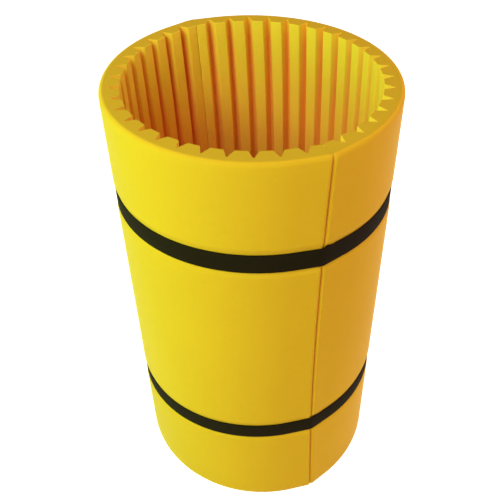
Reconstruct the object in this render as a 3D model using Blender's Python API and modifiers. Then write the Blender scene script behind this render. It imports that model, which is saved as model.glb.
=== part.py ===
"""Column protector: two ribbed foam half shells, held round a column by two hook-and-loop straps.

Run with: blender --background --python part.py
Metres, +Z up. The origin is on the floor in the middle of the sleeve. The two seams face -Y and +Y,
and the half shells bulge towards -X and +X.
"""

import math

import bmesh
import bpy
from mathutils import Matrix, Vector

# The foam half shell, a thick plank with V grooves that let it bend
HEIGHT = 1.067
FOAM_THICKNESS = 0.042
EDGE_ROUNDING = 0.010

# The grooves on the inside, spaced along the outer skin
GROOVE_COUNT = 19
GROOVE_PITCH = 0.050
END_RIB_WIDTH = 0.043
GROOVE_DEPTH = 0.021
GROOVE_MOUTH = 0.020
GROOVE_BOTTOM = 0.0025

# The bend: straight beside each seam, where the skin leans off square, and one arc between
SEAM_FLAT = 0.057
SEAM_LEAN = math.radians(12.9)
SEAM_GAP_OUTSIDE = 0.0050
SEAM_GAP_INSIDE = 0.0006

# The straps, which press a shallow channel into the foam
STRAP_WIDTH = 0.0456
STRAP_THICKNESS = 0.002
STRAP_OVERLAP = 0.150
STRAP_END_ANGLE = math.radians(28.0)
STRAP_CORNER_RADIUS = 0.020
UPPER_STRAP_BELOW_TOP = 0.237
UPPER_STRAP_TILT = math.radians(1.2)
UPPER_STRAP_RISES_TOWARDS = math.radians(-104.0)
LOWER_STRAP_ABOVE_FLOOR = 0.266
LOWER_STRAP_TILT = math.radians(4.8)
LOWER_STRAP_RISES_TOWARDS = math.radians(-78.0)
CHANNEL_DEPTH = 0.0035
CHANNEL_SHOULDER = 0.016
CUTTER_REACH = 0.004

# Gap between touching solids, and how finely round things are divided
CONTACT_GAP = 0.0003
SKIN_STEPS = 40
ROUNDING_STEPS = 3
CORNER_STEPS = 3
STRAP_RAMP_LENGTH = 0.030
SHARP_EDGE_ANGLE = math.radians(25.0)
FLAT_ANGLE = math.radians(0.1)
WELD_DISTANCE = 1e-6
SAME_PLACE = 1e-5

# Finishes
FOAM_YELLOW = (0.86, 0.66, 0.03)
FOAM_ROUGHNESS = 0.5
STRAP_BLACK = (0.012, 0.011, 0.012)
STRAP_ROUGHNESS = 0.85

PLANK_WIDTH = 2 * END_RIB_WIDTH + (GROOVE_COUNT - 1) * GROOVE_PITCH
BEND_ANGLE = math.pi - 2 * SEAM_LEAN
BEND_RADIUS = (PLANK_WIDTH - 2 * SEAM_FLAT) / BEND_ANGLE
SEAM_REACH = SEAM_FLAT * math.sin(SEAM_LEAN) + BEND_RADIUS * math.cos(SEAM_LEAN)


def clear_scene():
    for obj in list(bpy.data.objects):
        bpy.data.objects.remove(obj, do_unlink=True)


def skin_frame(along):
    """Point on the outer skin of the +X shell, its direction and its inward normal.

    along is the length of skin from the front seam, and the skin turns only between the two flats.
    """
    turn = min(max(along - SEAM_FLAT, 0.0) / BEND_RADIUS, BEND_ANGLE)
    heading = SEAM_LEAN + turn
    direction = Vector((math.cos(heading), math.sin(heading)))
    inward = Vector((-math.sin(heading), math.cos(heading)))
    first = Vector((math.cos(SEAM_LEAN), math.sin(SEAM_LEAN)))
    first_inward = Vector((-math.sin(SEAM_LEAN), math.cos(SEAM_LEAN)))
    seam = Vector((0.0, -SEAM_REACH))
    if along <= SEAM_FLAT:
        return seam + first * along, direction, inward
    centre = seam + first * SEAM_FLAT + first_inward * BEND_RADIUS
    point = centre - inward * BEND_RADIUS
    past_the_bend = along - SEAM_FLAT - BEND_RADIUS * BEND_ANGLE
    return point + direction * max(past_the_bend, 0.0), direction, inward


def skin_stations():
    """The skin's frames along the bend, where the skin and the straps on it share their folds."""
    bend = PLANK_WIDTH - 2 * SEAM_FLAT
    return [skin_frame(SEAM_FLAT + bend * step / SKIN_STEPS) for step in range(SKIN_STEPS + 1)]


def front_end_face():
    """Outer and inner ends of the face that closes the front seam, seen from above."""
    skin, direction, inward = skin_frame(0.0)
    across = direction.x
    outer = skin + direction * (SEAM_GAP_OUTSIDE / 2 / across)
    inner = skin + inward * FOAM_THICKNESS
    inner = inner + direction * ((SEAM_GAP_INSIDE / 2 - inner.x) / across)
    return outer, inner


def mirrored_front_to_back(point):
    return Vector((point.x, -point.y))


def shell_plan():
    """Outer and inner sides of the +X shell seen from above, each from the front seam to the back."""
    outer_corner, inner_corner = front_end_face()
    outer = [outer_corner]
    outer.extend(skin for skin, _, _ in skin_stations())
    outer.append(mirrored_front_to_back(outer_corner))
    inner = [inner_corner]
    for number in range(GROOVE_COUNT):
        skin, direction, inward = skin_frame(END_RIB_WIDTH + number * GROOVE_PITCH)
        mouth = skin + inward * FOAM_THICKNESS
        bottom = mouth - inward * GROOVE_DEPTH
        inner.append(mouth - direction * (GROOVE_MOUTH / 2))
        inner.append(bottom - direction * (GROOVE_BOTTOM / 2))
        inner.append(bottom + direction * (GROOVE_BOTTOM / 2))
        inner.append(mouth + direction * (GROOVE_MOUTH / 2))
    inner.append(mirrored_front_to_back(inner_corner))
    return outer, inner


def mesh_from_curve(curve):
    """Closed mesh of a curve, with its loose caps welded on and its flat sides left whole."""
    holder = bpy.data.objects.new(curve.name, curve)
    bpy.context.scene.collection.objects.link(holder)
    graph = bpy.context.evaluated_depsgraph_get()
    mesh = bpy.data.meshes.new_from_object(holder.evaluated_get(graph))
    bpy.data.objects.remove(holder, do_unlink=True)
    bm = bmesh.new()
    bm.from_mesh(mesh)
    bmesh.ops.remove_doubles(bm, verts=bm.verts, dist=WELD_DISTANCE)
    bmesh.ops.dissolve_limit(bm, angle_limit=FLAT_ANGLE, verts=bm.verts, edges=bm.edges)
    bmesh.ops.recalc_face_normals(bm, faces=bm.faces)
    bm.to_mesh(mesh)
    bm.free()
    return mesh


def closed_spline(curve, points):
    spline = curve.splines.new("POLY")
    spline.points.add(len(points) - 1)
    for spline_point, point in zip(spline.points, points):
        spline_point.co = (point.x, point.y, 0.0, 1.0)
    spline.use_cyclic_u = True


def extruded_plan(name, outline, height):
    """Flat outline filled and extruded to a height, half of it below z = 0."""
    curve = bpy.data.curves.new(name, "CURVE")
    curve.dimensions = "2D"
    curve.fill_mode = "BOTH"
    curve.extrude = height / 2
    closed_spline(curve, outline)
    return mesh_from_curve(curve)


def swept_section(name, loop, section):
    """Closed section, x outwards and y up, carried round a level closed loop."""
    profile_curve = bpy.data.curves.new(name + "_section", "CURVE")
    profile_curve.dimensions = "2D"
    closed_spline(profile_curve, section)
    profile = bpy.data.objects.new(name + "_section", profile_curve)
    path = bpy.data.curves.new(name, "CURVE")
    path.dimensions = "3D"
    path.twist_mode = "Z_UP"
    path.bevel_mode = "OBJECT"
    path.bevel_object = profile
    closed_spline(path, loop)
    mesh = mesh_from_curve(path)
    bpy.data.objects.remove(profile, do_unlink=True)
    return mesh


def slope_mesh(mesh, slope):
    """Slope a level band about its middle, its walls still upright."""
    shear = Matrix.Identity(4)
    shear[2][0] = slope.x
    shear[2][1] = slope.y
    mesh.transform(shear)


def slope_of(tilt, rises_towards):
    """Rise per metre along X and along Y."""
    return Vector((math.cos(rises_towards), math.sin(rises_towards))) * math.tan(tilt)


def strap_places():
    """Height on the sleeve's axis and slope of the lower and the upper strap."""
    return [
        (LOWER_STRAP_ABOVE_FLOOR, slope_of(LOWER_STRAP_TILT, LOWER_STRAP_RISES_TOWARDS)),
        (HEIGHT - UPPER_STRAP_BELOW_TOP, slope_of(UPPER_STRAP_TILT, UPPER_STRAP_RISES_TOWARDS)),
    ]


def channel_section():
    """Section of what a strap presses in: a flat floor and two sloping shoulders, open outwards."""
    half_floor = STRAP_WIDTH / 2 + CONTACT_GAP
    half_mouth = half_floor + CHANNEL_SHOULDER * (1 + CUTTER_REACH / CHANNEL_DEPTH)
    return [
        Vector((-CHANNEL_DEPTH, -half_floor)),
        Vector((CUTTER_REACH, -half_mouth)),
        Vector((CUTTER_REACH, half_mouth)),
        Vector((-CHANNEL_DEPTH, half_floor)),
    ]


def build_channel_cutter(name, middle, slope, collection):
    mesh = swept_section(name, strap_loop(0.0), channel_section())
    slope_mesh(mesh, slope)
    cutter = bpy.data.objects.new(name, mesh)
    cutter.location.z = middle
    cutter.hide_render = True
    cutter.display_type = "WIRE"
    collection.objects.link(cutter)
    return cutter


def weigh_rounded_edges(mesh, outer):
    """Give the top and bottom edges of the outer side full bevel weight."""
    def on_outer_side(vert):
        return any((vert.co.xy - point).length < SAME_PLACE for point in outer)

    bm = bmesh.new()
    bm.from_mesh(mesh)
    weight = bm.edges.layers.float.new("bevel_weight_edge")
    for edge in bm.edges:
        level = abs(edge.verts[0].co.z - edge.verts[1].co.z) < SAME_PLACE
        if level and all(map(on_outer_side, edge.verts)) and edge.calc_face_angle() > SHARP_EDGE_ANGLE:
            edge[weight] = 1.0
    bm.to_mesh(mesh)
    bm.free()


def plank_mesh():
    """The bent plank of the +X shell, its middle height at z = 0."""
    outer, inner = shell_plan()
    mesh = extruded_plan("bent_plank", outer + inner[::-1], HEIGHT)
    weigh_rounded_edges(mesh, outer)
    return mesh


def build_half_shell(name, plank, turn, cutters, collection):
    """One plank turned to its side of the sleeve, its edges rounded and the strap channels pressed in."""
    obj = add_object(name, plank.copy(), FOAM_YELLOW, FOAM_ROUGHNESS, collection)
    obj.location.z = HEIGHT / 2
    obj.rotation_euler.z = turn
    rounding = obj.modifiers.new("Rounded edges", "BEVEL")
    rounding.limit_method = "WEIGHT"
    rounding.width = EDGE_ROUNDING
    rounding.segments = ROUNDING_STEPS
    rounding.use_clamp_overlap = False
    for cutter in cutters:
        press = obj.modifiers.new(cutter.name, "BOOLEAN")
        press.operation = "DIFFERENCE"
        press.object = cutter


def seam_corner(depth):
    """Arc that takes a strap round the blunt corner at the front seam, at a depth under the skin."""
    centre = Vector((0.0, STRAP_CORNER_RADIUS / math.cos(SEAM_LEAN) - SEAM_REACH))
    radius = STRAP_CORNER_RADIUS - depth
    arc = []
    for step in range(CORNER_STEPS + 1):
        turn = SEAM_LEAN * (2 * step / CORNER_STEPS - 1)
        arc.append(centre + radius * Vector((math.sin(turn), -math.cos(turn))))
    return arc


def strap_loop(depth):
    """Closed loop round the sleeve at a depth under the skin, anticlockwise from the front seam."""
    half = seam_corner(depth)
    half.extend(skin + inward * depth for skin, _, inward in skin_stations())
    return half + [-point for point in half]


def turned_to_start(loop, angle):
    """The loop again, starting at the point that lies at an angle round the axis."""
    def away(point):
        return abs(math.remainder(math.atan2(point.y, point.x) - angle, 2 * math.pi))

    start = min(range(len(loop)), key=lambda i: away(loop[i]))
    return loop[start:] + loop[:start]


def wound(shallow, deep):
    """One face of the strap: once round at the deep level, then up onto itself for the overlap."""
    lengths = [0.0]
    for a, b in zip(deep, deep[1:] + deep[:1]):
        lengths.append(lengths[-1] + (b - a).length)
    once_round = lengths[-1]
    points = []
    for i, point in enumerate(deep):
        to_go = once_round - lengths[i]
        share = max(0.0, min(1.0, 1.0 - to_go / STRAP_RAMP_LENGTH))
        points.append(point.lerp(shallow[i], share))
    for i, point in enumerate(shallow):
        if lengths[i] > STRAP_OVERLAP:
            break
        points.append(point)
    return points


def build_strap(name, middle, slope, collection):
    """Flat band on edge, wound once round in its channel and a little way up onto itself."""
    bed = CHANNEL_DEPTH - CONTACT_GAP
    next_layer = STRAP_THICKNESS + CONTACT_GAP
    faces = []
    for depth in (bed, bed - STRAP_THICKNESS):
        deep = turned_to_start(strap_loop(depth), STRAP_END_ANGLE)
        shallow = turned_to_start(strap_loop(depth - next_layer), STRAP_END_ANGLE)
        faces.append(wound(shallow, deep))
    inner, outer = faces
    mesh = extruded_plan(name, inner + outer[::-1], STRAP_WIDTH)
    slope_mesh(mesh, slope)
    obj = add_object(name, mesh, STRAP_BLACK, STRAP_ROUGHNESS, collection)
    obj.location.z = middle


def principled(name, colour, roughness):
    material = bpy.data.materials.new(name)
    material.use_nodes = True
    shader = material.node_tree.nodes["Principled BSDF"]
    shader.inputs["Base Color"].default_value = (*colour, 1.0)
    shader.inputs["Roughness"].default_value = roughness
    shader.inputs["Metallic"].default_value = 0.0
    material.diffuse_color = (*colour, 1.0)
    return material


def add_object(name, mesh, colour, roughness, collection):
    mesh.name = name
    mesh.shade_smooth()
    mesh.set_sharp_from_angle(angle=SHARP_EDGE_ANGLE)
    mesh.materials.append(principled(name, colour, roughness))
    obj = bpy.data.objects.new(name, mesh)
    collection.objects.link(obj)
    return obj


def main():
    clear_scene()
    collection = bpy.data.collections.new("Column protector")
    cutters = bpy.data.collections.new("Cutters")
    for group in (collection, cutters):
        bpy.context.scene.collection.children.link(group)
    lower, upper = strap_places()
    channels = [
        build_channel_cutter("lower_channel", *lower, cutters),
        build_channel_cutter("upper_channel", *upper, cutters),
    ]
    plank = plank_mesh()
    build_half_shell("right_half_shell", plank, 0.0, channels, collection)
    build_half_shell("left_half_shell", plank, math.pi, channels, collection)
    build_strap("lower_strap", *lower, collection)
    build_strap("upper_strap", *upper, collection)


main()
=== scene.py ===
"""Looks for the column protector: ribbed foam half shells, two straps, and a pale studio.

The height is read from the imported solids, and the other sizes follow theirs. The half shells are
flat ribbed planks in their own measure, along the skin and into the foam, which a node tree sweeps,
presses in under the straps, bends round and twists a little. Metres, +Z up, seams at -Y and +Y.
"""

import math

import bmesh
import bpy
from bpy.props import FloatProperty, FloatVectorProperty, IntProperty, PointerProperty
from mathutils import Matrix, Vector


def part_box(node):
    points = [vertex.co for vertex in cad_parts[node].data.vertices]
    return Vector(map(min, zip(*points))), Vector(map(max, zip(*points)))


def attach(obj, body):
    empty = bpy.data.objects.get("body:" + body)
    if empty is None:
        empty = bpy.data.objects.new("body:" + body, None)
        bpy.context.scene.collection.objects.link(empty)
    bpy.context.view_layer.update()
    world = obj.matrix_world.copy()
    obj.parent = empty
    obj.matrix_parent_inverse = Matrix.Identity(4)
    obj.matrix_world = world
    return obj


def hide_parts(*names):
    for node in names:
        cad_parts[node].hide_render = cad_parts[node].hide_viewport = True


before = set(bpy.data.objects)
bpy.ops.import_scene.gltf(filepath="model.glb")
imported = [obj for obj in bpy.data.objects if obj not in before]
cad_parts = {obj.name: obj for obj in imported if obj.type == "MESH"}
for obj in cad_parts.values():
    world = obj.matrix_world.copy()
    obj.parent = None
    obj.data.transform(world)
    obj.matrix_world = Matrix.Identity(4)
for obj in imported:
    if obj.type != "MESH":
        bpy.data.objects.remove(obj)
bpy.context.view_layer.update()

bl_info = {
    "name": "Column Protector",
    "version": (1, 0, 0),
    "blender": (4, 5, 0),
    "location": "3D View > Sidebar > Protector",
    "description": "Builds a strapped foam column protector around its solids",
    "category": "Object",
}

SHELLS = {"right_half_shell": 1.0, "left_half_shell": -1.0}
CAD_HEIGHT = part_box("right_half_shell")[1].z

# How finely the shapes are divided, the rings in a channel as shares of its half width
SKIN_STEP = 0.008
EDGE_STEPS = 6
FILLET_STEPS = 4
CHANNEL_STEPS = 8
CHANNEL_RINGS = (0.0, 0.45, 0.85)
LEVEL_STEP = 0.045
STRAP_STEP = 0.006
CORNER_STEPS = 6

# Air between a strap and what it lies on, and distances within which points are one
CONTACT_GAP = 0.0003
CHAIN_MERGE = 1e-5
DOUBLES = 1e-6

# Corners that bend less than this, in radians, stay as they are
NEARLY_STRAIGHT = 1e-4

# Edges that turn more than these are drawn sharp
FOAM_SHARP = math.radians(35.0)
STRAP_SHARP = math.radians(40.0)

# Share of the twist that the middle of the sleeve turns the other way
TWIST_BALANCE = 0.4

# The foam's rings follow a strap's slope in full within half this height of it, and not at all
# beyond one and a half times this height
TILT_REACH = 0.12

# Share of the foam, from the skin, that takes part in the skin's rounding and channels
SKIN_SHARE = 0.45

# Millimetres across the camera's frame
SENSOR_WIDTH = 36.0


def length(name, description, default, **more):
    return FloatProperty(name=name, description=description, default=default, unit="LENGTH",
                         subtype="DISTANCE", precision=4, **more)


def angle(name, description, degrees):
    return FloatProperty(name=name, description=description, default=math.radians(degrees),
                         unit="ROTATION", subtype="ANGLE", precision=2)


def fraction(name, description, default):
    return FloatProperty(name=name, description=description, default=default, min=0.0, max=1.0,
                         subtype="FACTOR")


def power(name, description, default):
    return FloatProperty(name=name, description=description, default=default, min=0.0, unit="POWER")


def colour(name, description, default):
    return FloatVectorProperty(name=name, description=description, default=default,
                               subtype="COLOR", size=3, min=0.0, max=1.0)


class FoamSettings(bpy.types.PropertyGroup):
    """Sizes and colours of the two foam half shells"""

    height: length("Height", "Height of the sleeve", CAD_HEIGHT)
    thickness: length("Foam thickness", "From the outer skin to the tips of the ribs", 0.042)
    edge_rounding: length("Edge rounding", "Radius of the outer top and bottom edges", 0.010)
    rim_rounding: length("Rim rounding", "Radius of the ribs' top and bottom edges", 0.0016)
    corner_rounding: length("Corner rounding", "Radius of the outer corners at the seams", 0.006)
    rib_rounding: length("Rib rounding", "Radius of the ribs' upright edges", 0.0024)
    groove_count: IntProperty(name="Grooves", description="V grooves in each half shell", default=19,
                              min=1)
    groove_pitch: length("Groove pitch", "Distance between grooves, along the skin", 0.050)
    end_rib: length("End rib", "From a seam to the middle of the first groove", 0.043)
    groove_depth: length("Groove depth", "Depth of a groove from the ribs' tips", 0.021)
    groove_mouth: length("Groove mouth", "Width of a groove in the flat plank", 0.0225)
    groove_bottom: length("Groove bottom", "Width at the bottom of a groove", 0.0026)
    groove_fillet: length("Groove fillet", "Radius of the edges at that bottom", 0.0008)
    seam_flat: length("Seam flat", "Straight stretch of skin beside a seam", 0.057)
    seam_lean: angle("Seam lean", "How far the skin leans off square at a seam", 12.9)
    gap_outside: length("Seam gap outside", "Gap between the half shells at the skin", 0.0020)
    gap_inside: length("Seam gap inside", "Gap between the half shells at the ribs", 0.0005)
    seam_slant: length("Seam slant", "How far off the middle a seam starts and ends", 0.0008)
    twist: angle("Twist", "How much further round the ends are twisted than the middle", 2.18)
    unevenness: length("Unevenness", "How far the soft skin wanders in and out", 0.0006)
    skin_colour: colour("Skin", "Colour of the moulded outer skin", (0.78, 0.482, 0.027))
    # The rib tips are lighter and more lemon than the skin: painted light where the lamps reach into the
    # sleeve
    lit_rib_colour: colour("Rib tips", "Colour of the flat tips of the ribs", (1.0, 0.77, 0.070))
    # The groove colour is painted shade: the deep orange of shade in the grooves, in the seam gaps and
    # far inside the sleeve
    groove_shade_colour: colour("Cut foam", "Colour of the deep grooves and seam faces", (1.0, 0.42, 0.090))
    end_colour: colour("End", "Colour of the trimmed top and bottom", (0.62, 0.415, 0.030))
    skin_depth: length("Skin depth", "How deep the skin's colour goes", 0.004)
    skin_fade: length("Skin fade", "Depth over which it gives way to the cut foam", 0.0025)
    # How the painted shade in the grooves fades towards the rim
    rim_groove_shade: fraction("Rim tint", "Share of the groove colour that a groove has at the rim", 0.35)
    rim_shade_fade: length("Rim fade", "From the rim to where a groove has its full colour", 0.05)
    # Painted shade that deepens the ribs' colour further inside the sleeve
    far_shade_start: length("Far start", "From the rim to where the ribs begin to deepen in colour", 0.06)
    far_shade_reach: length("Far reach", "Distance over which they deepen", 0.25)
    far_shade_share: fraction("Far tint", "Share of the groove colour that the ribs have far inside", 0.72)
    skin_roughness: fraction("Skin roughness", "Roughness of the outer skin", 0.50)
    cut_roughness: fraction("Cut roughness", "Roughness of the cut foam", 0.72)
    sheen: fraction("Foam sheen", "Strength of the foam's mirrored light", 0.02)


class StrapSettings(bpy.types.PropertyGroup):
    """Sizes and colours of the two hook-and-loop straps"""

    width: length("Width", "Width of a strap", 0.0456)
    thickness: length("Thickness", "Thickness of one layer", 0.002)
    edge_rounding: length("Edge rounding", "Radius of a strap's long edges", 0.0008)
    channel_depth: length("Channel depth", "How far a strap sinks into the foam", 0.0035)
    channel_shoulder: length("Channel shoulder", "Width over which the foam rises again", 0.016)
    corner_radius: length("Corner radius", "How tightly a strap turns at a seam", 0.040)
    overlap: length("Overlap", "How far a strap laps onto itself", 0.150)
    ramp: length("Ramp", "Length over which the lapping layer climbs", 0.030)
    end_angle: angle("Lap angle", "Where the lap starts, round from +X", 28.0)
    wander: length("Wander", "How far a strap strays up and down", 0.0012)
    seam_lift: length("Seam lift", "Rise of the upper edge just past the front seam", 0.0042)
    lift_place: length("Lift place", "From the front seam to the highest point of that rise", 0.008)
    lift_reach: length("Lift reach", "Distance over which the rise fades", 0.007)
    lift_spread: length("Lift spread", "From a strap's middle to where it rises in full", 0.02)
    upper_height: length("Upper height", "Middle of the upper strap", CAD_HEIGHT - 0.237)
    upper_tilt: angle("Upper tilt", "How far the upper strap is tilted", 1.2)
    upper_uphill: angle("Upper uphill", "Direction in which the upper strap rises", -104.0)
    lower_height: length("Lower height", "Middle of the lower strap", 0.266)
    lower_tilt: angle("Lower tilt", "How far the lower strap is tilted", 4.8)
    lower_uphill: angle("Lower uphill", "Direction in which the lower strap rises", -78.0)
    colour: colour("Strap", "Colour of the strap", (0.0135, 0.0098, 0.0048))
    roughness: fraction("Roughness", "Roughness of the strap", 0.82)
    sheen: fraction("Strap sheen", "Strength of the strap's mirrored light", 0.03)
    woven_edge: length("Woven edge", "Width of the woven edge beside the loops", 0.0032)
    thread_pitch: length("Thread pitch", "Distance between threads, along the strap", 0.0011)
    row_pitch: length("Row pitch", "Distance between rows, across the strap", 0.0009)


class StageSettings(bpy.types.PropertyGroup):
    """Floor, lights and camera"""

    floor_size: length("Floor size", "From the floor's middle to its sides", 12.0)
    floor_colour: colour("Floor", "Colour of the floor", (0.88, 0.88, 0.87))
    floor_glow: fraction("Floor glow", "Lifts the floor towards white for the camera", 0.88)
    floor_sheen: fraction("Floor sheen", "Strength of the floor's mirrored light", 0.2)
    sky_strength: fraction("Sky strength", "Light from all round", 0.21)
    sky_colour: colour("Sky", "Colour of the light from all round", (1.0, 0.66, 0.66))
    key_power: power("Key light", "Power of the high lamp in front on the left", 71.0)
    side_power: power("Side light", "Power of the lamp on the left", 38.0)
    back_power: power("Back light", "Power of the lamp behind on the left", 9.0)
    fill_power: power("Fill light", "Power of the lamp on the right", 30.0)
    top_power: power("Top light", "Power of the lamp high on the right", 17.0)
    rear_power: power("Rear light", "Power of the lamp high behind", 15.5)
    front_power: power("Front light", "Power of the low lamp in front", 10.5)
    lamp_size: length("Lamp size", "Side of each square lamp", 1.8)
    lamp_aim: length("Lamp aim", "Height on the sleeve's axis that the lamps point at", 0.6)
    camera_distance: length("Camera distance", "From the sleeve's axis, along the floor", 1.2892)
    camera_height: length("Camera height", "Above the floor", 1.7277)
    camera_azimuth: angle("Camera azimuth", "Camera's place round the sleeve", -24.4)
    camera_pan: angle("Camera pan", "Turn to the right", -0.43545)
    camera_dip: angle("Camera dip", "Angle below the horizon", 41.22431)
    camera_roll: angle("Camera roll", "Turn about the line of sight", -1.37510)
    camera_lens: FloatProperty(name="Lens", description="Focal length on a 36 mm frame", default=49.813,
                               min=1.0, unit="CAMERA")


class Value:
    """A number or vector socket that can be used in an expression."""

    def __init__(self, maker, socket):
        self.maker = maker
        self.socket = socket

    def math(self, operation, *others):
        node = self.maker.node("ShaderNodeMath", {"operation": operation},
                               dict(enumerate((self, *others))))
        return self.maker.value(node)

    def __add__(self, other):
        return self.math("ADD", other)

    def __sub__(self, other):
        return self.math("SUBTRACT", other)

    def __mul__(self, other):
        return self.math("MULTIPLY", other)

    def __truediv__(self, other):
        return self.math("DIVIDE", other)

    def __radd__(self, other):
        return self + other

    def __rmul__(self, other):
        return self * other

    def __rsub__(self, other):
        return self * -1.0 + other

    def clamped(self):
        """Kept from 0 to 1."""
        return self.math("MAXIMUM", 0.0).math("MINIMUM", 1.0)

    def eased(self):
        """Kept from 0 to 1, and made to start and stop softly."""
        part = self.clamped()
        return part * part * (3.0 - 2.0 * part)


class NodeMaker:
    """Adds nodes to one tree."""

    def __init__(self, tree):
        self.tree = tree

    def node(self, kind, settings=None, values=None):
        """Adds a node, sets its own settings first, and then gives its sockets values or links."""
        node = self.tree.nodes.new(kind)
        for key, setting in (settings or {}).items():
            setattr(node, key, setting)
        for key, value in (values or {}).items():
            if isinstance(value, Value):
                self.tree.links.new(value.socket, node.inputs[key])
            else:
                node.inputs[key].default_value = value
        return node

    def value(self, node, output=0):
        return Value(self, node.outputs[output])

    def parts(self, vector):
        node = self.node("ShaderNodeSeparateXYZ", values={0: vector})
        return tuple(self.value(node, i) for i in range(3))

    def vector(self, x, y, z):
        return self.value(self.node("ShaderNodeCombineXYZ", values={0: x, 1: y, 2: z}))

    def noise(self, place, scale, detail, roughness=0.5):
        """Soft noise from 0 to 1, which is 0.5 on average."""
        return self.value(self.node("ShaderNodeTexNoise", values={
            "Vector": place, "Scale": scale, "Detail": detail, "Roughness": roughness}))

    def scaled(self, vector, factor):
        return self.value(self.node("ShaderNodeVectorMath", {"operation": "SCALE"},
                                    {0: vector, "Scale": factor}))


class GeometryMaker(NodeMaker):
    """A geometry node tree with named inputs, which ends in Realize Instances and Set Material."""

    def __init__(self, name):
        super().__init__(bpy.data.node_groups.new(name, "GeometryNodeTree"))
        self.tree.interface.new_socket("Geometry", in_out="OUTPUT", socket_type="NodeSocketGeometry")
        self.tree.interface.new_socket("Geometry", in_out="INPUT", socket_type="NodeSocketGeometry")
        self.group_input = self.tree.nodes.new("NodeGroupInput")
        self.identifiers = {}

    def input(self, name, kind="NodeSocketFloat"):
        item = self.tree.interface.new_socket(name, in_out="INPUT", socket_type=kind)
        self.identifiers[name] = item.identifier
        return self.value(self.group_input, name)

    def geometry(self):
        return self.value(self.group_input, "Geometry")

    def object_geometry(self, name):
        source = self.input(name, "NodeSocketObject")
        return self.value(self.node("GeometryNodeObjectInfo", values={"Object": source}), "Geometry")

    def joined(self, *geometries):
        node = self.node("GeometryNodeJoinGeometry")
        for geometry in geometries:
            self.tree.links.new(geometry.socket, node.inputs[0])
        return self.value(node)

    def captured(self, geometry, value, kind="VECTOR"):
        """Geometry that carries a value on its points, and that value for use further on."""
        node = self.node("GeometryNodeCaptureAttribute", {"domain": "POINT"})
        node.capture_items.new(kind, "Kept")
        self.tree.links.new(geometry.socket, node.inputs[0])
        self.tree.links.new(value.socket, node.inputs[1])
        return self.value(node, 0), self.value(node, 1)

    def stored(self, geometry, name, value, kind="FLOAT"):
        """Geometry with a named value on its points, for the material to read."""
        return self.value(self.node("GeometryNodeStoreNamedAttribute",
                                    {"data_type": kind, "domain": "POINT"},
                                    {"Geometry": geometry, "Name": name, "Value": value}))

    def position(self):
        return self.value(self.node("GeometryNodeInputPosition"))

    def twisted(self, x, y, z, height, twist):
        """A place turned about the axis, one way at the sleeve's ends and the other in its middle."""
        from_middle = z / (height * 0.5) - 1.0
        turn = twist * (from_middle * from_middle - TWIST_BALANCE)
        along, across = turn.math("COSINE"), turn.math("SINE")
        return self.vector(x * along - y * across, x * across + y * along, z)

    def end(self, geometry):
        material = self.input("Material", "NodeSocketMaterial")
        whole = self.value(self.node("GeometryNodeRealizeInstances", values={"Geometry": geometry}))
        done = self.value(self.node("GeometryNodeSetMaterial",
                                    values={"Geometry": whole, "Material": material}))
        output = self.tree.nodes.new("NodeGroupOutput")
        self.tree.links.new(done.socket, output.inputs[0])

    def applied(self, obj, **inputs):
        """Plain mesh that the tree makes of an object, the inputs named with spaces as underscores."""
        modifier = obj.modifiers.new(self.tree.name, "NODES")
        modifier.node_group = self.tree
        for name, value in inputs.items():
            modifier[self.identifiers[name.replace("_", " ")]] = value
        obj.update_tag()
        bpy.context.view_layer.update()
        graph = bpy.context.evaluated_depsgraph_get()
        mesh = bpy.data.meshes.new_from_object(obj.evaluated_get(graph))
        obj.modifiers.remove(modifier)
        return mesh


def polyline_object(name, points, cyclic=False):
    """A hidden helper whose mesh is a chain of edges."""
    mesh = bpy.data.meshes.new(name)
    edges = [(i, i + 1) for i in range(len(points) - 1)]
    if cyclic:
        edges.append((len(points) - 1, 0))
    mesh.from_pydata([(*point, 0.0) if len(point) == 2 else tuple(point) for point in points], edges, [])
    obj = bpy.data.objects.new(name, mesh)
    bpy.context.scene.collection.objects.link(obj)
    return obj


def remove_objects(*objects):
    for obj in objects:
        bpy.data.objects.remove(obj, do_unlink=True)


def closed_piece(name, mesh, sharp_angle):
    """Finished object at the origin, its doubles merged and its faces pointing out."""
    bm = bmesh.new()
    bm.from_mesh(mesh)
    bmesh.ops.remove_doubles(bm, verts=bm.verts, dist=DOUBLES)
    bmesh.ops.recalc_face_normals(bm, faces=bm.faces)
    bm.to_mesh(mesh)
    bm.free()
    mesh.name = name
    mesh.shade_smooth()
    mesh.set_sharp_from_angle(angle=sharp_angle)
    obj = bpy.data.objects.new(name, mesh)
    bpy.context.scene.collection.objects.link(obj)
    return obj


def rounded_chain(points, radii, steps):
    """An open chain of corners with each inner corner rounded by its own radius."""
    chain = [points[0]]
    for before, corner, after, radius in zip(points, points[1:], points[2:], radii):
        towards_before = (before - corner).normalized()
        towards_after = (after - corner).normalized()
        half_angle = towards_before.angle(towards_after) / 2
        if radius <= 0.0 or half_angle > math.pi / 2 - NEARLY_STRAIGHT:
            chain.append(corner)
            continue
        setback = radius / math.tan(half_angle)
        centre = corner + (towards_before + towards_after).normalized() * (radius / math.sin(half_angle))
        start = corner + towards_before * setback - centre
        end = corner + towards_after * setback - centre
        turn = math.atan2(start.x * end.y - start.y * end.x, start.dot(end))
        for step in range(steps + 1):
            swing = turn * step / steps
            chain.append(centre + Vector((start.x * math.cos(swing) - start.y * math.sin(swing),
                                          start.x * math.sin(swing) + start.y * math.cos(swing))))
    chain.append(points[-1])
    return chain


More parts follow.
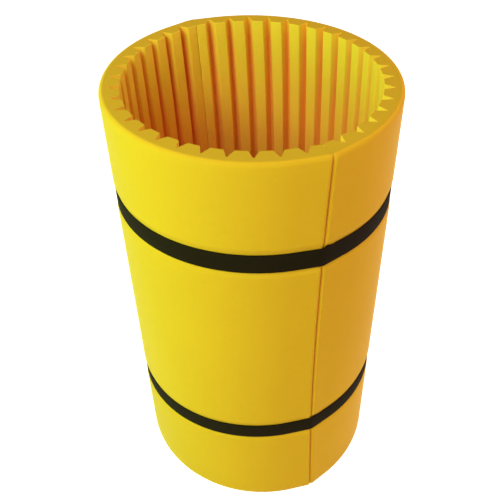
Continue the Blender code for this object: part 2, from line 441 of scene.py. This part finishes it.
class Sleeve:
    """The shape that both half shells bend to, and the straps follow."""

    def __init__(self, foam):
        self.foam = foam
        self.width = 2 * foam.end_rib + (foam.groove_count - 1) * foam.groove_pitch
        self.bend_angle = math.pi - 2 * foam.seam_lean
        self.bend_radius = (self.width - 2 * foam.seam_flat) / self.bend_angle
        self.reach = (foam.seam_flat * math.sin(foam.seam_lean)
                      + self.bend_radius * math.cos(foam.seam_lean))

    def skin(self, along):
        """Point on the +X half of the skin and its inward normal, at a length from the front seam."""
        foam = self.foam
        straight = min(along, foam.seam_flat)
        bent = min(max(along - foam.seam_flat, 0.0), self.bend_radius * self.bend_angle)
        beyond = max(along - foam.seam_flat - self.bend_radius * self.bend_angle, 0.0)
        heading = foam.seam_lean + bent / self.bend_radius
        x = ((straight - beyond) * math.cos(foam.seam_lean)
             + self.bend_radius * (math.sin(heading) - math.sin(foam.seam_lean)))
        y = ((straight + beyond) * math.sin(foam.seam_lean) - self.reach
             + self.bend_radius * (math.cos(foam.seam_lean) - math.cos(heading)))
        return Vector((x, y)), Vector((-math.sin(heading), math.cos(heading)))

    def end_line(self, depth):
        """How far from the seam the cut end lies, at a depth under the skin."""
        foam = self.foam
        share = depth / foam.thickness
        half_gap = (foam.gap_outside * (1 - share) + foam.gap_inside * share) / 2
        return (half_gap + depth * math.sin(foam.seam_lean)) / math.cos(foam.seam_lean)

    def one_groove(self):
        """A groove from mid rib to mid rib, x along the plank and y into the foam."""
        foam = self.foam
        tip = foam.thickness
        bottom = foam.thickness - foam.groove_depth
        corners = [
            Vector((-foam.groove_pitch / 2, tip)),
            Vector((-foam.groove_mouth / 2, tip)),
            Vector((-foam.groove_bottom / 2, bottom)),
            Vector((foam.groove_bottom / 2, bottom)),
            Vector((foam.groove_mouth / 2, tip)),
            Vector((foam.groove_pitch / 2, tip)),
        ]
        radii = [foam.rib_rounding, foam.groove_fillet, foam.groove_fillet, foam.rib_rounding]
        return rounded_chain(corners, radii, FILLET_STEPS)

    def rest_of_outline(self):
        """The plank's outline from its last groove round the skin to its first."""
        foam = self.foam
        first = foam.end_rib - foam.groove_pitch / 2
        tip = foam.thickness
        end = self.end_line(tip)
        start = self.end_line(0.0)
        slant = foam.seam_slant
        corners = [
            Vector((self.width - first, tip)),
            Vector((self.width - end - slant, tip)),
            Vector((self.width - start + slant, 0.0)),
        ]
        skin_width = self.width - 2 * start
        count = round(skin_width / SKIN_STEP)
        for step in range(1, count):
            corners.append(Vector((self.width - start + slant - skin_width * step / count, 0.0)))
        corners += [Vector((start + slant, 0.0)), Vector((end - slant, tip)), Vector((first, tip))]
        radii = [0.0] * (len(corners) - 2)
        radii[0] = radii[-1] = foam.rib_rounding
        radii[1] = radii[-2] = foam.corner_rounding
        return rounded_chain(corners, radii, FILLET_STEPS)

    def strap_lines(self, strap):
        """Height and slope along X and Y of the upper and lower straps' middles."""
        def slope(tilt, uphill):
            return Vector((math.cos(uphill), math.sin(uphill))) * math.tan(tilt)

        return {"upper_strap": (strap.upper_height, slope(strap.upper_tilt, strap.upper_uphill)),
                "lower_strap": (strap.lower_height, slope(strap.lower_tilt, strap.lower_uphill))}

    def levels(self, strap):
        """Heights of the rings of points: close together at the edges and over the channels."""
        foam = self.foam
        heights = []
        for step in range(EDGE_STEPS + 1):
            rise = foam.edge_rounding * (1 - math.sin(math.pi / 2 * step / EDGE_STEPS))
            heights += [rise, foam.height - rise]
        half_floor = strap.width / 2 + CONTACT_GAP
        for middle, _ in self.strap_lines(strap).values():
            for share in CHANNEL_RINGS:
                heights += [middle - half_floor * share, middle + half_floor * share]
            for step in range(CHANNEL_STEPS + 2):
                offset = half_floor + strap.channel_shoulder * step / CHANNEL_STEPS
                heights += [middle - offset, middle + offset]
        heights = sorted(set(round(height, 6) for height in heights))
        filled = [heights[0]]
        for height in heights[1:]:
            steps = math.ceil((height - filled[-1]) / LEVEL_STEP)
            low = filled[-1]
            filled += [low + (height - low) * step / steps for step in range(1, steps + 1)]
        return filled

    def strap_loop(self, strap, depth):
        """Closed loop round the sleeve at a depth under the skin, anticlockwise from the front seam."""
        foam = self.foam
        centre = Vector((0.0, strap.corner_radius / math.cos(foam.seam_lean) - self.reach))
        radius = strap.corner_radius - depth
        half = []
        for step in range(CORNER_STEPS + 1):
            turn = foam.seam_lean * (2 * step / CORNER_STEPS - 1)
            half.append(centre + radius * Vector((math.sin(turn), -math.cos(turn))))
        clear = strap.corner_radius * math.tan(foam.seam_lean)
        steps = round((self.width - 2 * clear) / STRAP_STEP)
        for step in range(1, steps):
            skin, inward = self.skin(clear + (self.width - 2 * clear) * step / steps)
            half.append(skin + inward * depth)
        return half + [-point for point in half]

    def strap_path(self, strap):
        """Middle line of a strap: once round in its channel and then up onto itself."""
        deep_depth = strap.channel_depth - CONTACT_GAP - strap.thickness / 2
        deep = self.strap_loop(strap, deep_depth)
        shallow = self.strap_loop(strap, deep_depth - strap.thickness - CONTACT_GAP)
        angles = [math.atan2(point.y, point.x) for point in deep]
        start = min(range(len(deep)),
                    key=lambda i: abs(math.remainder(angles[i] - strap.end_angle, 2 * math.pi)))
        deep = deep[start:] + deep[:start]
        shallow = shallow[start:] + shallow[:start]
        lengths = [0.0]
        for a, b in zip(deep, deep[1:] + deep[:1]):
            lengths.append(lengths[-1] + (b - a).length)
        path = []
        for i, point in enumerate(deep):
            share = max(0.0, 1.0 - (lengths[-1] - lengths[i]) / strap.ramp)
            path.append(point.lerp(shallow[i], share))
        path += [point for i, point in enumerate(shallow) if lengths[i] <= strap.overlap]
        return path


def plank_tree():
    """Sweeps a ribbed plank's outline up its levels, presses in the channels and bends it round."""
    maker = GeometryMaker("Bent ribbed plank")
    groove = maker.object_geometry("One groove")
    levels = maker.object_geometry("Levels")
    count = maker.input("Groove count", "NodeSocketInt")
    pitch = maker.input("Groove pitch")
    first = maker.input("First groove")
    height = maker.input("Height")
    thickness = maker.input("Thickness")
    edge = maker.input("Edge rounding")
    rim = maker.input("Rim rounding")
    flat = maker.input("Seam flat")
    lean = maker.input("Seam lean")
    radius = maker.input("Bend radius")
    bend = maker.input("Bend length")
    reach = maker.input("Seam reach")
    side = maker.input("Side")
    upper = maker.input("Upper strap height")
    lower = maker.input("Lower strap height")
    upper_slope = maker.input("Upper slope", "NodeSocketVector")
    lower_slope = maker.input("Lower slope", "NodeSocketVector")
    half_floor = maker.input("Channel half width")
    shoulder = maker.input("Channel shoulder")
    press = maker.input("Channel depth")
    uneven = maker.input("Unevenness")
    twist = maker.input("Twist")

    # The outline: one groove repeated along the plank and joined to the rest
    places = maker.value(maker.node("GeometryNodeMeshLine", {"mode": "OFFSET"}, {
        "Count": count, "Start Location": maker.vector(first, 0.0, 0.0),
        "Offset": maker.vector(pitch, 0.0, 0.0)}))
    copies = maker.value(maker.node("GeometryNodeInstanceOnPoints",
                                    values={"Points": places, "Instance": groove}))
    grooves = maker.value(maker.node("GeometryNodeRealizeInstances", values={"Geometry": copies}))
    chain = maker.value(maker.node("GeometryNodeMergeByDistance", values={
        "Geometry": maker.joined(grooves, maker.geometry()), "Distance": CHAIN_MERGE}))
    outline = maker.value(maker.node("GeometryNodeMeshToCurve", values={"Mesh": chain}))
    outline, flat_place = maker.captured(outline, maker.position())
    rise = maker.value(maker.node("GeometryNodeMeshToCurve", values={"Mesh": levels}))
    rise, level_place = maker.captured(rise, maker.position())
    wall = maker.value(maker.node("GeometryNodeCurveToMesh", values={
        "Curve": rise, "Profile Curve": outline, "Fill Caps": True}))
    along, depth, _ = maker.parts(flat_place)
    _, _, level = maker.parts(level_place)

    # Place on the bent skin
    straight = along.math("MINIMUM", flat)
    bent = (along - flat).math("MAXIMUM", 0.0).math("MINIMUM", bend)
    beyond = (along - flat - bend).math("MAXIMUM", 0.0)
    heading = lean + bent / radius
    skin_x = ((straight - beyond) * lean.math("COSINE")
              + radius * (heading.math("SINE") - lean.math("SINE")))
    skin_y = ((straight + beyond) * lean.math("SINE") - reach
              + radius * (lean.math("COSINE") - heading.math("COSINE")))

    # Rings near a strap tilt with it
    def climb(slope, height_of_strap):
        slope_x, slope_y, _ = maker.parts(slope)
        rise_here = side * (slope_x * skin_x + slope_y * skin_y)
        near = (1.5 - (level - height_of_strap).math("ABSOLUTE") * (1.0 / TILT_REACH)).clamped()
        return rise_here, rise_here * near

    upper_climb, near_upper = climb(upper_slope, upper)
    lower_climb, near_lower = climb(lower_slope, lower)
    tilted = level + near_upper + near_lower

    # Skin side 1, rib side 0: the skin side takes the wide rounding and the channels
    skin_side = (1.0 - depth / (thickness * SKIN_SHARE)).clamped()

    def channel(distance):
        up_shoulder = ((distance.math("ABSOLUTE") - half_floor) / shoulder).clamped()
        return press * (0.5 + 0.5 * (up_shoulder * math.pi).math("COSINE"))

    pressed = channel(tilted - upper - upper_climb) + channel(tilted - lower - lower_climb)

    # Both ends are rounded along a quarter circle, and the rings crowd together where it is small
    from_end = level.math("MINIMUM", height - level)
    up_round = (from_end / edge).clamped()
    left_over = 1.0 - up_round
    inset = 1.0 - (1.0 - left_over * left_over).math("MAXIMUM", 0.0).math("SQRT")
    round_off = edge * skin_side + rim * (1.0 - skin_side)
    in_rounding = from_end.math("LESS_THAN", edge * 1.0001)
    squeeze = (edge - round_off) * up_round * in_rounding
    upwards = level.math("GREATER_THAN", height * 0.5) * 2.0 - 1.0
    final_z = tilted + upwards * squeeze
    to_end = height * 0.5 - (final_z - height * 0.5).math("ABSOLUTE")

    # The soft foam's unevenness, drawn out along the sleeve and weaker on the ribs
    place = maker.vector(skin_x * side, skin_y * side, level * 0.6)
    wander = (maker.noise(place, scale=4.5, detail=1.5) - 0.5) * 2.0 * uneven
    final_depth = (depth + (pressed + edge * inset + wander) * skin_side
                   - (rim * inset + wander * 0.6) * (1.0 - skin_side))
    x = skin_x - heading.math("SINE") * final_depth
    y = skin_y + heading.math("COSINE") * final_depth
    moved = maker.value(maker.node("GeometryNodeSetPosition", values={
        "Geometry": wall, "Position": maker.twisted(x * side, y * side, final_z, height, twist)}))
    maker.end(maker.stored(maker.stored(moved, "depth", depth), "to_end", to_end))
    return maker


def strap_tree():
    """Sweeps a strap's section along its path, tilts it and lays a map along it."""
    maker = GeometryMaker("Wound strap")
    section = maker.object_geometry("Section")
    middle = maker.input("Middle height")
    slope_x = maker.input("Slope X")
    slope_y = maker.input("Slope Y")
    wander = maker.input("Wander")
    seam_lift = maker.input("Seam lift")
    lift_place = maker.input("Lift place")
    lift_reach = maker.input("Lift reach")
    lift_spread = maker.input("Lift spread")
    height = maker.input("Height")
    twist = maker.input("Twist")
    path = maker.value(maker.node("GeometryNodeMeshToCurve", values={"Mesh": maker.geometry()}))
    path = maker.value(maker.node("GeometryNodeSetCurveNormal", {"mode": "Z_UP"}, {"Curve": path}))
    run = maker.value(maker.node("GeometryNodeSplineParameter"), "Length")
    path, run = maker.captured(path, run, "FLOAT")
    profile = maker.value(maker.node("GeometryNodeMeshToCurve", values={"Mesh": section}))
    profile, across = maker.captured(profile, maker.position())
    band = maker.value(maker.node("GeometryNodeCurveToMesh", values={
        "Curve": path, "Profile Curve": profile, "Fill Caps": True}))
    x, y, z = maker.parts(maker.position())
    side_x, side_y, _ = maker.parts(across)
    place = maker.vector(run * 5.0, middle * 7.0, 0.0)
    stray = (maker.noise(place, scale=1.0, detail=1.0) - 0.5) * wander

    # The upper edge rises where the strap comes off the front seam, and nowhere behind
    in_front = (y * -50.0).clamped()
    beside_seam = (1.3 - (x - lift_place).math("ABSOLUTE") / lift_reach).eased() * in_front
    on_upper_edge = (side_y * -1.0 / lift_spread).clamped()
    lift = stray + beside_seam * on_upper_edge * seam_lift
    placed = maker.value(maker.node("GeometryNodeSetPosition", values={
        "Geometry": band,
        "Position": maker.twisted(x, y, z + middle + x * slope_x + y * slope_y + lift, height, twist)}))
    maker.end(maker.stored(placed, "strap_place", maker.vector(run, side_y, side_x), "FLOAT_VECTOR"))
    return maker


def material_maker(name):
    material = bpy.data.materials.new(name)
    material.use_nodes = True
    material.node_tree.nodes.clear()
    maker = NodeMaker(material.node_tree)
    return material, maker


def seen_directly(maker):
    """1 where the camera sees a surface itself, or in or through another, and 0 for its light."""
    path = maker.node("ShaderNodeLightPath")
    camera, glossy, through = (maker.value(path, name) for name in (
        "Is Camera Ray", "Is Glossy Ray", "Is Transmission Ray"))
    return (camera + glossy + through).clamped()


def finish_material(maker, values):
    shader = maker.node("ShaderNodeBsdfPrincipled", values=values)
    maker.node("ShaderNodeOutputMaterial", values={"Surface": maker.value(shader)})


def foam_material(foam):
    """Moulded skin outside and cut foam in the grooves, on the ends and on the rim, the inside with
    painted shade that deepens in the grooves and further into the sleeve.
    """
    material, maker = material_maker("closed_cell_foam")
    place = maker.value(maker.node("ShaderNodeTexCoord"), "Object")
    depth = maker.value(maker.node("ShaderNodeAttribute", {"attribute_name": "depth"}), "Fac")
    to_end = maker.value(maker.node("ShaderNodeAttribute", {"attribute_name": "to_end"}), "Fac")
    on_rim = 1.0 - (to_end * (1.0 / (foam.rim_rounding * 0.5))).clamped()
    cut = ((depth - foam.skin_depth) * (1.0 / foam.skin_fade)).clamped()

    broad = maker.noise(place, scale=3.2, detail=2.0, roughness=0.45)
    mottle = maker.noise(place, scale=60.0, detail=3.0, roughness=0.6)
    cells = maker.value(maker.node("ShaderNodeTexVoronoi", {"feature": "F1"}, {
        "Vector": place, "Scale": 620.0}), "Distance")

    def blend(factor, one, other):
        return maker.value(maker.node("ShaderNodeMix", {"data_type": "RGBA"},
                                      {"Factor": factor, 6: one, 7: other}), 2)

    # Painted shade: grooves and seam gaps take the full groove colour from four fifths of their depth,
    # less of it towards the rim, and the ribs take it further inside the sleeve
    deep = ((foam.thickness - depth) * (1.25 / foam.groove_depth)).clamped()
    groove_shade_past_rim = (foam.rim_groove_shade + to_end * ((1.0 - foam.rim_groove_shade) / foam.rim_shade_fade)).clamped()
    far_shade_mask = ((to_end - foam.far_shade_start) * (1.0 / foam.far_shade_reach)).clamped()
    # The lit rib colour darkened towards the groove colour by the painted shade
    inner = blend((deep * groove_shade_past_rim + far_shade_mask * foam.far_shade_share).clamped(),
                  (*foam.lit_rib_colour, 1.0), (*foam.groove_shade_colour, 1.0))
    base = blend(on_rim, blend(cut, (*foam.skin_colour, 1.0), inner), (*foam.end_colour, 1.0))
    cut = cut.math("MAXIMUM", on_rim)
    shade = 1.0 + (broad - 0.5) * 0.10 + (mottle - 0.5) * 0.05 - cells * cut * 0.10
    roughness = (foam.skin_roughness + cut * (foam.cut_roughness - foam.skin_roughness)
                 + (mottle - 0.5) * 0.12)
    relief = mottle * 0.25 + cells * (0.10 + 0.55 * cut)
    bump = maker.node("ShaderNodeBump", values={
        "Strength": 0.35, "Distance": 0.0006, "Height": relief})
    finish_material(maker, {"Base Color": maker.scaled(base, shade), "Roughness": roughness,
                            "Normal": maker.value(bump), "Specular IOR Level": foam.sheen})
    return material


def strap_material(strap):
    """Brushed loop face of a hook-and-loop strap, with woven edges."""
    material, maker = material_maker("hook_and_loop")
    place = maker.value(maker.node("ShaderNodeAttribute", {"attribute_name": "strap_place"}), "Vector")
    run, across, _ = maker.parts(place)
    fuzz = maker.noise(maker.vector(run, across * 1.8, 0.0), scale=900.0, detail=4.0, roughness=0.7)
    patches = maker.noise(maker.vector(run, across * 2.5, 0.0), scale=34.0, detail=3.0)
    from_edge = strap.width / 2 - across.math("ABSOLUTE")
    edge = (1.0 - from_edge * (1.0 / strap.woven_edge)).clamped()
    threads = (run * (2 * math.pi / strap.thread_pitch)).math("SINE")
    rows = (across * (2 * math.pi / strap.row_pitch)).math("SINE")
    weave = 0.5 + 0.5 * (threads * rows)
    relief = fuzz * (1.0 - 0.7 * edge) + weave * edge * 0.8
    shade = 0.78 + fuzz * 0.30 + patches * 0.34 - edge * 0.18
    bump = maker.node("ShaderNodeBump", values={
        "Strength": 0.7, "Distance": 0.0007, "Height": relief})
    finish_material(maker, {"Base Color": maker.scaled((*strap.colour,), shade),
                            "Roughness": strap.roughness + (patches - 0.5) * 0.15,
                            "Normal": maker.value(bump), "Specular IOR Level": strap.sheen})
    return material


class PROTECTOR_OT_half_shells(bpy.types.Operator):
    """Bend and press the two ribbed foam half shells"""

    bl_idname = "protector.half_shells"
    bl_label = "Build half shells"

    def execute(self, context):
        foam = context.scene.protector_foam
        strap = context.scene.protector_strap
        sleeve = Sleeve(foam)
        tree = plank_tree()
        finish = foam_material(foam)
        rest = polyline_object("rest_of_outline", sleeve.rest_of_outline())
        groove = polyline_object("one_groove", sleeve.one_groove())
        levels = polyline_object("levels", [(0.0, 0.0, height) for height in sleeve.levels(strap)])
        lines = sleeve.strap_lines(strap)
        for node, side in SHELLS.items():
            mesh = tree.applied(
                rest, One_groove=groove, Levels=levels, Groove_count=foam.groove_count,
                Groove_pitch=foam.groove_pitch, First_groove=foam.end_rib, Height=foam.height,
                Thickness=foam.thickness, Edge_rounding=foam.edge_rounding,
                Rim_rounding=foam.rim_rounding, Seam_flat=foam.seam_flat, Seam_lean=foam.seam_lean,
                Bend_radius=sleeve.bend_radius, Bend_length=sleeve.bend_radius * sleeve.bend_angle,
                Seam_reach=sleeve.reach, Side=side, Upper_strap_height=lines["upper_strap"][0],
                Lower_strap_height=lines["lower_strap"][0],
                Upper_slope=(*lines["upper_strap"][1], 0.0), Lower_slope=(*lines["lower_strap"][1], 0.0),
                Channel_half_width=strap.width / 2 + CONTACT_GAP,
                Channel_shoulder=strap.channel_shoulder, Channel_depth=strap.channel_depth,
                Unevenness=foam.unevenness, Twist=foam.twist, Material=finish)
            piece = closed_piece(node.replace("half_shell", "foam"), mesh, FOAM_SHARP)

            # The flat top and bottom are the only faces with more than four sides
            for face in mesh.polygons:
                if face.loop_total > 4:
                    face.use_smooth = False
            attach(piece, "root")
            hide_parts(node)
        remove_objects(rest, groove, levels)
        return {"FINISHED"}


class PROTECTOR_OT_straps(bpy.types.Operator):
    """Wind the two straps round the half shells"""

    bl_idname = "protector.straps"
    bl_label = "Build straps"

    def execute(self, context):
        foam = context.scene.protector_foam
        strap = context.scene.protector_strap
        sleeve = Sleeve(foam)
        tree = strap_tree()
        finish = strap_material(strap)
        half_width, half_thickness = strap.width / 2, strap.thickness / 2
        corners = [Vector((0.0, half_width)), Vector((half_thickness, half_width)),
                   Vector((half_thickness, -half_width)), Vector((-half_thickness, -half_width)),
                   Vector((-half_thickness, half_width)), Vector((0.0, half_width))]
        chain = rounded_chain(corners, [strap.edge_rounding] * 4, FILLET_STEPS)[:-1]
        section = polyline_object("strap_section", chain, cyclic=True)
        path = polyline_object("strap_path", sleeve.strap_path(strap))
        for node, (middle, slope) in sleeve.strap_lines(strap).items():
            mesh = tree.applied(path, Section=section, Middle_height=middle, Slope_X=slope.x,
                                Slope_Y=slope.y, Wander=strap.wander, Seam_lift=strap.seam_lift,
                                Lift_place=strap.lift_place, Lift_reach=strap.lift_reach,
                                Lift_spread=strap.lift_spread, Height=foam.height, Twist=foam.twist,
                                Material=finish)
            piece = closed_piece(node + "_webbing", mesh, STRAP_SHARP)
            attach(piece, "root")
            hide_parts(node)
        remove_objects(section, path)
        return {"FINISHED"}


class PROTECTOR_OT_stage(bpy.types.Operator):
    """Lay the floor, hang the lamps and set up the camera"""

    bl_idname = "protector.stage"
    bl_label = "Build stage"

    def execute(self, context):
        stage = context.scene.protector_stage
        self.lay_floor(stage)
        self.light(context, stage)
        self.aim_camera(context, stage)
        context.scene.view_settings.view_transform = "Standard"
        return {"FINISHED"}

    def lay_floor(self, stage):
        mesh = bpy.data.meshes.new("floor")
        bm = bmesh.new()
        bmesh.ops.create_grid(bm, x_segments=2, y_segments=2, size=stage.floor_size)
        bm.to_mesh(mesh)
        bm.free()
        material, maker = material_maker("pale_floor")
        place = maker.value(maker.node("ShaderNodeTexCoord"), "Object")
        grain = maker.noise(place, scale=1.25, detail=2.0)
        glow = seen_directly(maker) * stage.floor_glow
        finish_material(maker, {"Base Color": (*stage.floor_colour, 1.0),
                                "Roughness": 0.8 + (grain - 0.5) * 0.05,
                                "Specular IOR Level": stage.floor_sheen,
                                "Emission Color": maker.vector(glow, glow, glow),
                                "Emission Strength": 1.0})
        mesh.materials.append(material)
        floor = bpy.data.objects.new("floor", mesh)
        bpy.context.scene.collection.objects.link(floor)

    def light(self, context, stage):
        world = bpy.data.worlds.new("studio")
        context.scene.world = world
        world.use_nodes = True
        world.node_tree.nodes.clear()
        maker = NodeMaker(world.node_tree)
        seen = seen_directly(maker)
        shades = [seen + (1.0 - seen) * (stage.sky_strength * part) for part in stage.sky_colour]
        sky = maker.node("ShaderNodeBackground",
                         values={"Color": maker.vector(*shades), "Strength": 1.0})
        maker.node("ShaderNodeOutputWorld", values={"Surface": maker.value(sky)})
        turn = Matrix.Rotation(stage.camera_azimuth, 4, "Z")
        lamps = (
            ("key", stage.key_power, Vector((-1.3, -1.7, 2.9)), (0.765, 1.0, 0.55)),
            ("side", stage.side_power, Vector((-2.6, -0.4, 1.1)), (0.38, 1.0, 0.15)),
            ("back", stage.back_power, Vector((-1.9, 1.9, 1.6)), (1.0, 1.0, 0.90)),
            ("fill", stage.fill_power, Vector((2.6, 0.7, 1.1)), (1.0, 0.88, 0.85)),
            ("top", stage.top_power, Vector((1.5, -0.4, 3.1)), (1.0, 0.25, 0.15)),
            ("rear", stage.rear_power, Vector((0.3, 1.9, 2.9)), (1.0, 0.58, 0.45)),
            ("front", stage.front_power, Vector((0.2, -2.9, 0.7)), (1.0, 0.55, 0.25)),
        )
        for name, watts, place, tint in lamps:
            lamp = bpy.data.lights.new(name, "AREA")
            lamp.energy = watts
            lamp.color = tint
            lamp.shape = "SQUARE"
            lamp.size = stage.lamp_size
            obj = bpy.data.objects.new(name, lamp)
            obj.location = turn @ place
            aim = Vector((0.0, 0.0, stage.lamp_aim)) - obj.location
            obj.rotation_euler = aim.to_track_quat("-Z", "Y").to_euler()
            context.scene.collection.objects.link(obj)

    def aim_camera(self, context, stage):
        """Camera from its distance, height, pan, dip and roll, then carried round to its azimuth."""
        pan, dip, roll = stage.camera_pan, stage.camera_dip, stage.camera_roll
        ahead = Vector((math.sin(pan) * math.cos(dip), math.cos(pan) * math.cos(dip), -math.sin(dip)))
        level_right = Vector((math.cos(pan), -math.sin(pan), 0.0))
        level_up = level_right.cross(ahead)
        right = level_right * math.cos(roll) + level_up * math.sin(roll)
        up = level_up * math.cos(roll) - level_right * math.sin(roll)
        look = Matrix((right, up, -ahead)).transposed().to_4x4()
        place = Matrix.Translation((0.0, -stage.camera_distance, stage.camera_height))
        data = bpy.data.cameras.new("camera")
        data.lens = stage.camera_lens
        data.sensor_width = SENSOR_WIDTH
        data.sensor_fit = "HORIZONTAL"
        camera = bpy.data.objects.new("camera", data)
        camera.matrix_world = Matrix.Rotation(stage.camera_azimuth, 4, "Z") @ place @ look
        context.scene.collection.objects.link(camera)
        context.scene.camera = camera


class PROTECTOR_PT_panel(bpy.types.Panel):
    """Sizes, colours and builders of the column protector"""

    bl_idname = "PROTECTOR_PT_panel"
    bl_label = "Column Protector"
    bl_space_type = "VIEW_3D"
    bl_region_type = "UI"
    bl_category = "Protector"

    def draw(self, context):
        groups = (
            ("protector_foam", "Foam", PROTECTOR_OT_half_shells),
            ("protector_strap", "Straps", PROTECTOR_OT_straps),
            ("protector_stage", "Stage", PROTECTOR_OT_stage),
        )
        for attribute, title, operator in groups:
            settings = getattr(context.scene, attribute)
            box = self.layout.box()
            box.label(text=title)
            for name in settings.__annotations__:
                box.prop(settings, name)
            box.operator(operator.bl_idname)


CLASSES = (
    FoamSettings,
    StrapSettings,
    StageSettings,
    PROTECTOR_OT_half_shells,
    PROTECTOR_OT_straps,
    PROTECTOR_OT_stage,
    PROTECTOR_PT_panel,
)


def register():
    for cls in CLASSES:
        bpy.utils.register_class(cls)
    bpy.types.Scene.protector_foam = PointerProperty(type=FoamSettings)
    bpy.types.Scene.protector_strap = PointerProperty(type=StrapSettings)
    bpy.types.Scene.protector_stage = PointerProperty(type=StageSettings)


def unregister():
    del bpy.types.Scene.protector_stage
    del bpy.types.Scene.protector_strap
    del bpy.types.Scene.protector_foam
    for cls in reversed(CLASSES):
        bpy.utils.unregister_class(cls)


def main():
    register()
    bpy.ops.protector.half_shells()
    bpy.ops.protector.straps()
    bpy.ops.protector.stage()
    bpy.context.view_layer.update()


if __name__ == "__main__":
    main()
